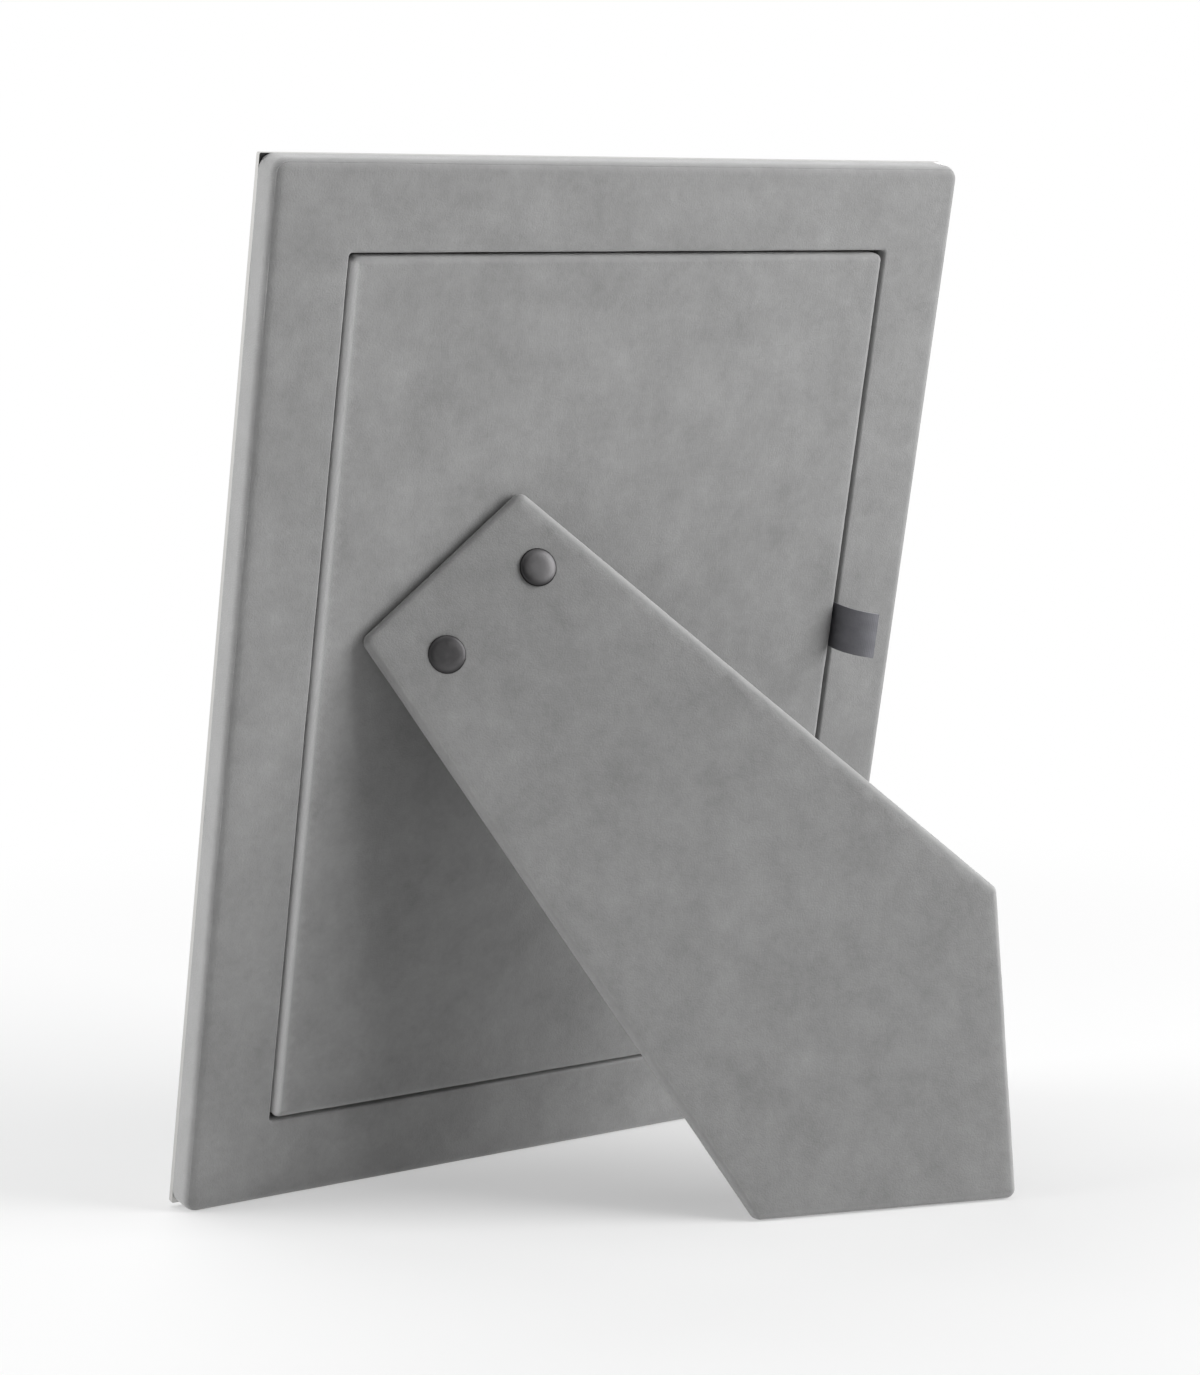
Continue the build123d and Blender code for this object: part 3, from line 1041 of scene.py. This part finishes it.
@dataclass
class BackPanel:
    """The velvet-covered board that lifts out of the frame's back."""

    back: Basis
    corner: float = 0.0015
    arris_run: float = 0.00145
    arris_drop: float = 0.0012
    velvet: float = VELVET_THICKNESS
    # Painted sheen on the panel's edges: a strong painted highlight on the left edge, faint on the others.
    nap: PileSheen = PileSheen((-1.0, 0.0), along=2.0, across=0.15, fade=1.0, left=0.1)
    ribbon_room: float = 0.00035
    step: float = 0.0017

    def build(self) -> list[bpy.types.Object]:
        """Builds the cover and dresses it, with the board and the lining.

        Returns:
            The cover, the board and the lining.
        """
        low, high = self.back.box("panel_velvet")
        width, height = high.x - low.x, high.y - low.y
        outline = Outline.rectangle(width, height, self.corner, self.step)
        rim = low.z + self.ribbon_room
        skin = [Contour(outline.loop(), rim)]
        skin += quarter(outline, self.arris_run, self.arris_drop, high.z, self.nap)
        inside = [Contour(outline.loop(self.velvet), level) for level in (high.z - self.velvet, rim)]
        cover = CoverMesh()
        cover.tray(outline, skin, inside, self.arris_run, self.velvet, self.step)
        piece = cover.piece("panel_velvet_cover", self.back, Relief())
        VELVET.dress(piece)
        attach(piece, Body.PANEL.value)
        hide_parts("panel_velvet")
        return [piece, *dressed(HARDBOARD, "panel_board"), *dressed(LINING, "panel_lining")]


@dataclass(frozen=True)
class Stretch:
    """One stretch of the ribbon's run, with its heading at both ends in degrees above the panel."""

    length: float
    start: float
    end: float
    steps: int


@dataclass
class PullRibbon:
    """The ribbon that the panel is pulled out by: glued under it, and led out through the gap."""

    back: Basis
    thickness: float = 0.0003
    inner_bend: float = 0.00045
    outer_bend: float = 0.0012
    upright: float = 90.0
    tail_start: float = 95.0
    tail_end: float = 38.0
    pucker: float = 0.00016
    puckers: float = 2.5
    pucker_reach: float = 0.003
    pucker_shift: float = 0.2
    blend_before: float = 0.0004
    blend_after: float = 0.0012
    width_steps: int = 24

    def breadth(self) -> tuple[float, float]:
        """The ribbon's width, and how far up the panel its middle lies."""
        low, high = self.back.box("ribbon_leg")
        return high.y - low.y, (low.y + high.y) / 2

    def pivot(self) -> Vector:
        """Where the ribbon bends, at the mouth of the gap."""
        return self.back.local(Vector(JOINTS["ribbon_flex"]["pos_m"]))

    def run(self) -> np.ndarray:
        """The ribbon's middle line in the panel's section.

        Returns:
            One row for each point: across, out, heading in radians and the length so far.
        """
        leg_low, _ = self.back.box("ribbon_leg")
        pivot = self.pivot()
        tail = self.back.points("ribbon_tail")
        reach = max(np.hypot(tail[:, 0] - pivot.x, tail[:, 2] - pivot.z))
        turn = abs(radians(self.upright - self.tail_start))
        floor = leg_low.z + self.thickness / 2
        rise = pivot.z - floor - self.inner_bend - self.outer_bend * sin(turn)
        stretches = (
            Stretch(pivot.x - self.inner_bend - leg_low.x, 0.0, 0.0, steps=10),
            Stretch(self.inner_bend * radians(self.upright), 0.0, self.upright, steps=8),
            Stretch(rise, self.upright, self.upright, steps=6),
            Stretch(self.outer_bend * turn, self.upright, self.tail_start, steps=6),
            Stretch(reach, self.tail_start, self.tail_end, steps=26),
        )
        rows = [(leg_low.x, floor, 0.0, 0.0)]
        for stretch in stretches:
            stride = stretch.length / stretch.steps
            for step in range(stretch.steps):
                share = (step + 0.5) / stretch.steps
                heading = radians(stretch.start + (stretch.end - stretch.start) * share)
                across, out, _, length = rows[-1]
                across, out = across + stride * cos(heading), out + stride * sin(heading)
                rows.append((across, out, heading, length + stride))
        return np.array(rows)

    def strip(self, run: np.ndarray) -> tuple[list[Vector], list[tuple[float, float]]]:
        """The ribbon's two faces, row by row, with a slight pucker past the mouth of the gap.

        Args:
            run: The ribbon's middle line.

        Returns:
            One face's points and then the other's, and each point's place on the flat ribbon.
        """
        width, middle = self.breadth()
        mouth = run[np.argmax(run[:, 1] > self.pivot().z), 3]
        points: list[Vector] = []
        flat: list[tuple[float, float]] = []
        for side in (0.5, -0.5):
            for across, out, heading, length in run:
                past = max(0.0, length - mouth) / self.pucker_reach
                swell = self.pucker * past * exp(1 - past)
                for share in np.linspace(-0.5, 0.5, self.width_steps + 1):
                    wave = sin(2 * pi * self.puckers * (share + self.pucker_shift))
                    lift = side * self.thickness + swell * wave
                    x, z = across - lift * sin(heading), out + lift * cos(heading)
                    points.append(self.back.place(x, middle + share * width, z))
                    flat.append((share * width, length))
        return points, flat

    def faces(self, rows: int) -> list[tuple[int, ...]]:
        """The squares of the two faces and of the band round their rim.

        Args:
            rows: The number of rows of points in a face.

        Returns:
            Each square's points.
        """
        row = self.width_steps + 1
        layer = row * rows
        faces: list[tuple[int, ...]] = []
        for number in range(rows - 1):
            for step in range(self.width_steps):
                a = number * row + step
                faces += [(a, a + 1, a + row + 1, a + row)]
                faces += [(layer + a, layer + a + row, layer + a + row + 1, layer + a + 1)]
        rim = [*range(row)]
        rim += [number * row + row - 1 for number in range(1, rows)]
        rim += [layer - 1 - step for step in range(1, row)]
        rim += [number * row for number in range(rows - 2, 0, -1)]
        return faces + [(a, layer + a, layer + b, b) for a, b in zip(rim, rim[1:] + rim[:1])]

    def build(self) -> list[bpy.types.Object]:
        """Builds the ribbon as one strip with a thickness.

        Returns:
            The ribbon.
        """
        run = self.run()
        points, flat = self.strip(run)
        mesh = closed_mesh("pull_ribbon", points, self.faces(len(run)))
        layer_map = mesh.uv_layers.new(name="ribbon")
        for corner in mesh.loops:
            layer_map.data[corner.index].uv = flat[corner.vertex_index]
        piece = finished("pull_ribbon", mesh)
        RIBBON.dress(piece)
        width, middle = self.breadth()
        pivot = self.pivot()
        heading = radians((self.upright + self.tail_start) / 2)
        start, end = (
            self.back.place(pivot.x + reach * cos(heading), middle, pivot.z + reach * sin(heading))
            for reach in (-self.blend_before, self.blend_after)
        )
        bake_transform(piece)
        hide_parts("ribbon_leg", "ribbon_tail")
        return [piece]


@dataclass
class Strut:
    """The velvet-covered board that the frame leans on, lined with paper inside."""

    basis: Basis
    back: Basis
    top_width: float = 0.045
    flare: float = 8.5
    corner: float = 0.002
    arris: float = 0.0014
    hem_arris: float = 0.0002
    hem: float = 0.00145
    # Painted sheen on the strut's edges, brightest where they face along the lie; none on the hem.
    nap: PileSheen = PileSheen((0.0, 1.0), along=0.48, across=0.10, against=0.29, fade=0.5, left=0.5)
    hem_pile_sheen: PileSheen = PileSheen((0.0, 1.0), along=0.0, across=0.0)
    velvet: float = VELVET_THICKNESS
    step: float = 0.0017

    def outline(self) -> Outline:
        """The strut's outline: a slanted top edge, two flared sides and a square foot corner.

        Returns:
            The outline, in the strut's axes.
        """
        low, high = self.basis.box("strut_velvet")
        slant = atan2(self.basis.y.dot(self.back.y), self.basis.y.dot(self.back.x))
        flare = tan(radians(self.flare))
        top = low.x
        foot = high.x - self.corner + self.corner * (cos(slant) + sin(slant))
        spread = self.top_width / 2 + (foot - top) * flare
        level = spread / (cos(slant) + sin(slant) * flare)
        upright = spread / (sin(slant) + cos(slant) * flare)
        corners = (
            (top, -self.top_width / 2),
            (foot - level * sin(slant), -level * cos(slant)),
            (foot, 0.0),
            (foot - upright * cos(slant), upright * sin(slant)),
            (top, self.top_width / 2),
        )
        return Outline.spaced(corners, self.corner, self.step)

    def build(self) -> list[bpy.types.Object]:
        """Builds the cover, turned in under the board, and dresses it with the board and the lining.

        Returns:
            The cover, the board and the lining.
        """
        outline = self.outline()
        wall, high = self.basis.box("strut_velvet")
        under = self.basis.box("strut_lining")[0].z
        top = high.z
        edge = quarter(outline, self.hem_arris, self.hem_arris, under, self.hem_pile_sheen)[::-1]
        turned = [replace(contour, height=2 * under - contour.height) for contour in edge]
        skin = [Contour(outline.loop(self.hem), under), *turned]
        skin += quarter(outline, self.arris, self.arris, top, self.nap)
        inside = [
            Contour(outline.loop(self.velvet), top - self.velvet),
            Contour(outline.loop(self.velvet), wall.z),
            Contour(outline.loop(self.hem), wall.z),
        ]
        cover = CoverMesh()
        cover.tray(outline, skin, inside, self.arris, self.velvet, self.step)
        piece = cover.piece("strut_velvet_cover", self.basis, Relief())
        VELVET.dress(piece)
        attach(piece, Body.STRUT.value)
        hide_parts("strut_velvet")
        corners = np.array(outline.corners)
        ahead = np.roll(corners, -1, axis=0)
        girth = float(np.linalg.norm(ahead - corners, axis=1).sum())
        return [piece, *dressed(HARDBOARD, "strut_board"), *dressed(LINING, "strut_lining")]


@dataclass
class RivetCaps:
    """The low-domed caps of the two rivets through the strut, set by one Geometry Nodes tree."""

    basis: Basis
    spacing: float = 0.0262
    flatness: float = 3.0
    segments: int = 64
    rings: int = 40
    tilt: float = -8.0
    bed: float = 0.0003
    count: int = 2
    just_below: float = -0.001

    def cap(self, graph: Graph, given: dict[str, Socket]) -> Socket:
        """Shapes one cap from a ball: a dome above, and a flat underside sunk a little into the velvet.

        Args:
            graph: The tree's graph.
            given: The tree's inputs.

        Returns:
            The cap, with how near its rim each point is.
        """
        sizes = {"Segments": given["Segments"], "Rings": given["Rings"], "Radius": 1.0}
        ball = graph.out("GeometryNodeMeshUVSphere", sizes)
        place = graph.out("GeometryNodeInputPosition")
        x, y, z = graph.add("ShaderNodeSeparateXYZ", {0: place}).outputs
        squares = graph.sum("ADD", graph.sum("MULTIPLY", x, x), graph.sum("MULTIPLY", y, y))
        spread = graph.sum("SQRT", squares)
        power = given["Flatness"]
        tall = graph.sum("POWER", graph.sum("ABSOLUTE", z), power)
        swollen = graph.sum("ADD", graph.sum("POWER", spread, power), tall)
        fit = graph.sum("POWER", swollen, graph.sum("DIVIDE", -1.0, power))
        wide = graph.sum("MULTIPLY", fit, given["Radius"])
        above = graph.sum("MULTIPLY", graph.sum("MAXIMUM", z, 0.0), fit)
        dome = graph.sum("MULTIPLY", above, given["Height"])
        sunk = graph.sum("MULTIPLY", graph.sum("LESS_THAN", z, self.just_below), given["Bed"])
        across, along = (graph.sum("MULTIPLY", axis, wide) for axis in (x, y))
        level = graph.sum("SUBTRACT", dome, sunk)
        shaped = graph.out("ShaderNodeCombineXYZ", {0: across, 1: along, 2: level})
        # How near the rim each point is, which sets the caps' painted rim shade.
        near_rim = {"Geometry": ball, "Name": "rim", "Value": graph.sum("MULTIPLY", spread, fit)}
        rimmed = graph.out("GeometryNodeStoreNamedAttribute", near_rim)
        return graph.out("GeometryNodeSetPosition", {"Geometry": rimmed, "Position": shaped})

    def tree(self) -> bpy.types.NodeTree:
        """A tree that sets the two caps in a row, leaning opposite ways.

        Returns:
            The tree, with named inputs for the caps' sizes.
        """
        kinds = {
            "Radius": Kind.VALUE, "Height": Kind.VALUE, "Flatness": Kind.VALUE, "Bed": Kind.VALUE,
            "First": Kind.VECTOR, "Step": Kind.VECTOR, "Tilt": Kind.VALUE, "Count": Kind.COUNT,
            "Segments": Kind.COUNT, "Rings": Kind.COUNT, "Finish": Kind.MATERIAL,
        }
        graph, given = node_group("rivet caps", "GeometryNodeTree", kinds, "Geometry", Kind.GEOMETRY)
        places = {"Count": given["Count"], "Start Location": given["First"], "Offset": given["Step"]}
        row = graph.out("GeometryNodeMeshLine", places)
        side = graph.sum("SUBTRACT", graph.out("GeometryNodeInputIndex"), 0.5)
        turn = graph.out("ShaderNodeCombineXYZ", {0: graph.sum("MULTIPLY", side, given["Tilt"])})
        set_caps = {"Points": row, "Instance": self.cap(graph, given), "Rotation": turn}
        caps = graph.out("GeometryNodeInstanceOnPoints", set_caps)
        real = graph.out("GeometryNodeRealizeInstances", {0: caps})
        done = graph.out("GeometryNodeSetMaterial", {"Geometry": real, "Material": given["Finish"]})
        graph.add("NodeGroupOutput", {"Geometry": done})
        return graph.tree

    def build(self) -> list[bpy.types.Object]:
        """Sets the caps on the strut's face and makes them a plain mesh.

        Returns:
            The caps, as one piece.
        """
        low, high = self.basis.box("strut_rivet_caps")
        radius = (high.x - low.x) / 2
        middle = (low + high) / 2
        values = {
            "Radius": radius, "Height": high.z - low.z, "Flatness": self.flatness, "Bed": self.bed,
            "First": (middle.x, middle.y - self.spacing / 2, low.z), "Step": (0.0, self.spacing, 0.0),
            "Tilt": radians(self.tilt), "Count": self.count, "Segments": self.segments, "Rings": self.rings,
            "Finish": NICKEL.material(),
        }
        source = bpy.data.objects.new("rivet_cap_source", bpy.data.meshes.new("rivet_cap_source"))
        modifier = source.modifiers.new("rivet caps", "NODES")
        modifier.node_group = self.tree()
        for item in modifier.node_group.interface.items_tree:
            if item.in_out == "INPUT":
                modifier[item.identifier] = values[item.name]
        bpy.context.scene.collection.objects.link(source)
        depsgraph = bpy.context.evaluated_depsgraph_get()
        mesh = bpy.data.meshes.new_from_object(source.evaluated_get(depsgraph), depsgraph=depsgraph)
        bpy.data.objects.remove(source)
        mesh.name = "strut_rivet_domes"
        mesh.transform(self.basis.matrix())
        piece = finished("strut_rivet_domes", mesh)
        NICKEL.dress(piece)
        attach(piece, Body.STRUT.value)
        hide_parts("strut_rivet_caps")
        return [piece]


@dataclass
class Hinge:
    """The steel hinge between the panel and the strut, with its pin and rivets."""

    def build(self) -> list[bpy.types.Object]:
        """Dresses the leaves, the pin and the rivets."""
        steel = dressed(STEEL, "hinge_base_leaf", "hinge_strut_leaf", "hinge_pin", "base_rivets")
        return [*steel, *dressed(NICKEL, "strut_rivet_posts")]


@dataclass(frozen=True)
class Softbox:
    """A soft lamp: where it stands, its size and power, whether metal and glass mirror it, and its aim."""

    name: str
    place: Triple
    size: tuple[float, float]
    power: float
    mirrored: bool = True
    aim: Triple = (0.0, 0.0, 0.1)

    def build(self) -> None:
        """Makes the lamp, out of the camera's sight."""
        data = bpy.data.lights.new(self.name, "AREA")
        data.shape = "RECTANGLE"
        data.size, data.size_y = self.size
        data.energy = self.power
        lamp = placed(self.name, data)
        lamp.location = self.place
        lamp.rotation_euler = (Vector(self.aim) - Vector(self.place)).to_track_quat("-Z", "Y").to_euler()
        lamp.visible_camera = False
        lamp.visible_glossy = self.mirrored


def screen(name: str, corners: tuple[Triple, ...], paint: bpy.types.Material) -> bpy.types.Object:
    """Makes a flat face from its corners and links it to the scene.

    Args:
        name: The object's name.
        corners: Its corners in turn.
        paint: Its material.

    Returns:
        The object, at the origin.
    """
    mesh = bpy.data.meshes.new(name)
    mesh.from_pydata(corners, [], [range(len(corners))])
    mesh.materials.append(paint)
    return placed(name, mesh)


@dataclass(frozen=True)
class MirrorCard:
    """A standing card that only metal and glass see: its ends on plan, its height and its brightness."""

    name: str
    start: tuple[float, float]
    end: tuple[float, float]
    bottom: float
    top: float
    glow: float

    def build(self) -> None:
        """Makes the card, which lights and shades nothing."""
        paint, graph = blank_paint(self.name)
        glow = graph.out("ShaderNodeEmission", {"Strength": self.glow})
        graph.add("ShaderNodeOutputMaterial", {"Surface": glow})
        low = ((*self.start, self.bottom), (*self.end, self.bottom))
        high = ((*self.end, self.top), (*self.start, self.top))
        card = screen(self.name, low + high, paint)
        card.visible_camera = False
        card.visible_diffuse = False
        card.visible_transmission = False
        card.visible_shadow = False


@dataclass
class Studio:
    """A plain white studio: a pale floor, soft lamps, cards for the metal to mirror, and the camera."""

    lens: float = 89.32
    turn: float = 35.53
    rise: float = 7.70
    distance: float = 0.7223
    aim: Triple = (-0.0052, -0.0217, 0.1042)
    floor_tone: float = 0.50
    floor_glow: float = 0.39
    floor_bounce: float = 0.24
    floor_size: float = 12.0
    fade_start: float = 0.17
    fade_end: float = 0.45
    lamps: tuple[Softbox, ...] = (
        Softbox("key softbox", (-0.6, 0.65, 0.45), size=(0.6, 0.9), power=11.6),
        Softbox("overhead softbox", (0.0, 0.2, 1.3), size=(1.0, 1.0), power=4.4),
        Softbox("rear overhead softbox", (0.0, -0.7, 1.1), size=(1.0, 0.8), power=6.8, mirrored=False),
        Softbox("side softbox", (0.95, -0.55, 0.45), size=(0.8, 0.8), power=10.8, mirrored=False),
    )
    cards: tuple[MirrorCard, ...] = (
        MirrorCard("dark card", (-0.15, 1.5), (2.2, 1.5), bottom=0.0, top=1.4, glow=0.005),
        MirrorCard("pale card", (0.7, -0.9), (1.2, -0.2), bottom=0.1, top=0.9, glow=1.5),
    )

    def build(self) -> None:
        """Makes the world, the lamps, the floor, the cards and the camera."""
        self.world()
        for lamp in self.lamps:
            lamp.build()
        self.floor()
        for card in self.cards:
            card.build()
        self.camera()
        bpy.context.scene.view_settings.view_transform = "Standard"

    def seen(self, graph: Graph) -> Socket:
        """Tells what the camera, a mirror or glass sees from light that bounces.

        Args:
            graph: The material's graph.

        Returns:
            1 for what is seen, and 0 for the rest.
        """
        path = graph.add("ShaderNodeLightPath").outputs
        mirrored = graph.sum("MAXIMUM", path["Is Glossy Ray"], path["Is Transmission Ray"])
        return graph.sum("MAXIMUM", path["Is Camera Ray"], mirrored)

    def world(self) -> None:
        """White where it is seen, while the light comes from the lamps and the floor."""
        world = bpy.data.worlds.new("studio")
        world.use_nodes = True
        world.node_tree.nodes.clear()
        graph = Graph(world.node_tree)
        glow = graph.out("ShaderNodeBackground", {"Color": WHITE, "Strength": self.seen(graph)})
        graph.add("ShaderNodeOutputWorld", {"Surface": glow})
        bpy.context.scene.world = world

    def floor(self) -> None:
        """A wide pale floor that keeps the frame's shadow and turns white away from it."""
        paint, graph = blank_paint("studio floor")
        seen = self.seen(graph)
        place = graph.add("ShaderNodeTexCoord").outputs["Object"]
        away = graph.add("ShaderNodeVectorMath", {0: place}, operation="LENGTH").outputs["Value"]
        fade = graph.ramp(away, self.fade_start, self.fade_end, kind="SMOOTHSTEP")
        tone = (self.floor_tone, self.floor_tone, self.floor_tone, 1.0)
        matt = graph.out("ShaderNodeBsdfDiffuse", {"Color": tone})
        strength = graph.ramp(seen, 0.0, 1.0, self.floor_bounce, self.floor_glow)
        glow = graph.out("ShaderNodeEmission", {"Strength": strength})
        near = graph.out("ShaderNodeAddShader", {0: matt, 1: glow})
        white = graph.out("ShaderNodeEmission", {"Strength": 1.0})
        share = graph.sum("MULTIPLY", fade, seen)
        mixed = graph.out("ShaderNodeMixShader", {0: share, 1: near, 2: white})
        graph.add("ShaderNodeOutputMaterial", {"Surface": mixed})
        half = self.floor_size / 2
        corners = ((-half, -half, 0.0), (half, -half, 0.0), (half, half, 0.0), (-half, half, 0.0))
        floor = screen("floor", corners, paint)

    def camera(self) -> None:
        """A long lens at the photograph's angle, aimed at the middle of the frame."""
        data = bpy.data.cameras.new("camera")
        data.lens = self.lens
        camera = placed("camera", data)
        turn, rise = radians(self.turn), radians(self.rise)
        towards = Vector((sin(turn) * cos(rise), cos(turn) * cos(rise), sin(rise)))
        camera.location = Vector(self.aim) + towards * self.distance
        camera.rotation_euler = towards.to_track_quat("Z", "Y").to_euler()
        bpy.context.scene.camera = camera


def main() -> None:
    """Builds the sub-assemblies in order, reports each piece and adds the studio."""
    logging.basicConfig(level=logging.INFO, format="%(name)s: %(message)s")
    back = back_basis()
    strut = strut_basis(back)
    assemblies = (
        VelvetRing(back),
        PictureFront(back),
        BackPanel(back),
        PullRibbon(back),
        Strut(strut, back),
        RivetCaps(strut),
        Hinge(),
    )
    for assembly in assemblies:
        for piece in assembly.build():
            log.info("%s: %s, %d faces", type(assembly).__name__, piece.name, len(piece.data.polygons))
    Studio().build()


if __name__ == "__main__":
    main()
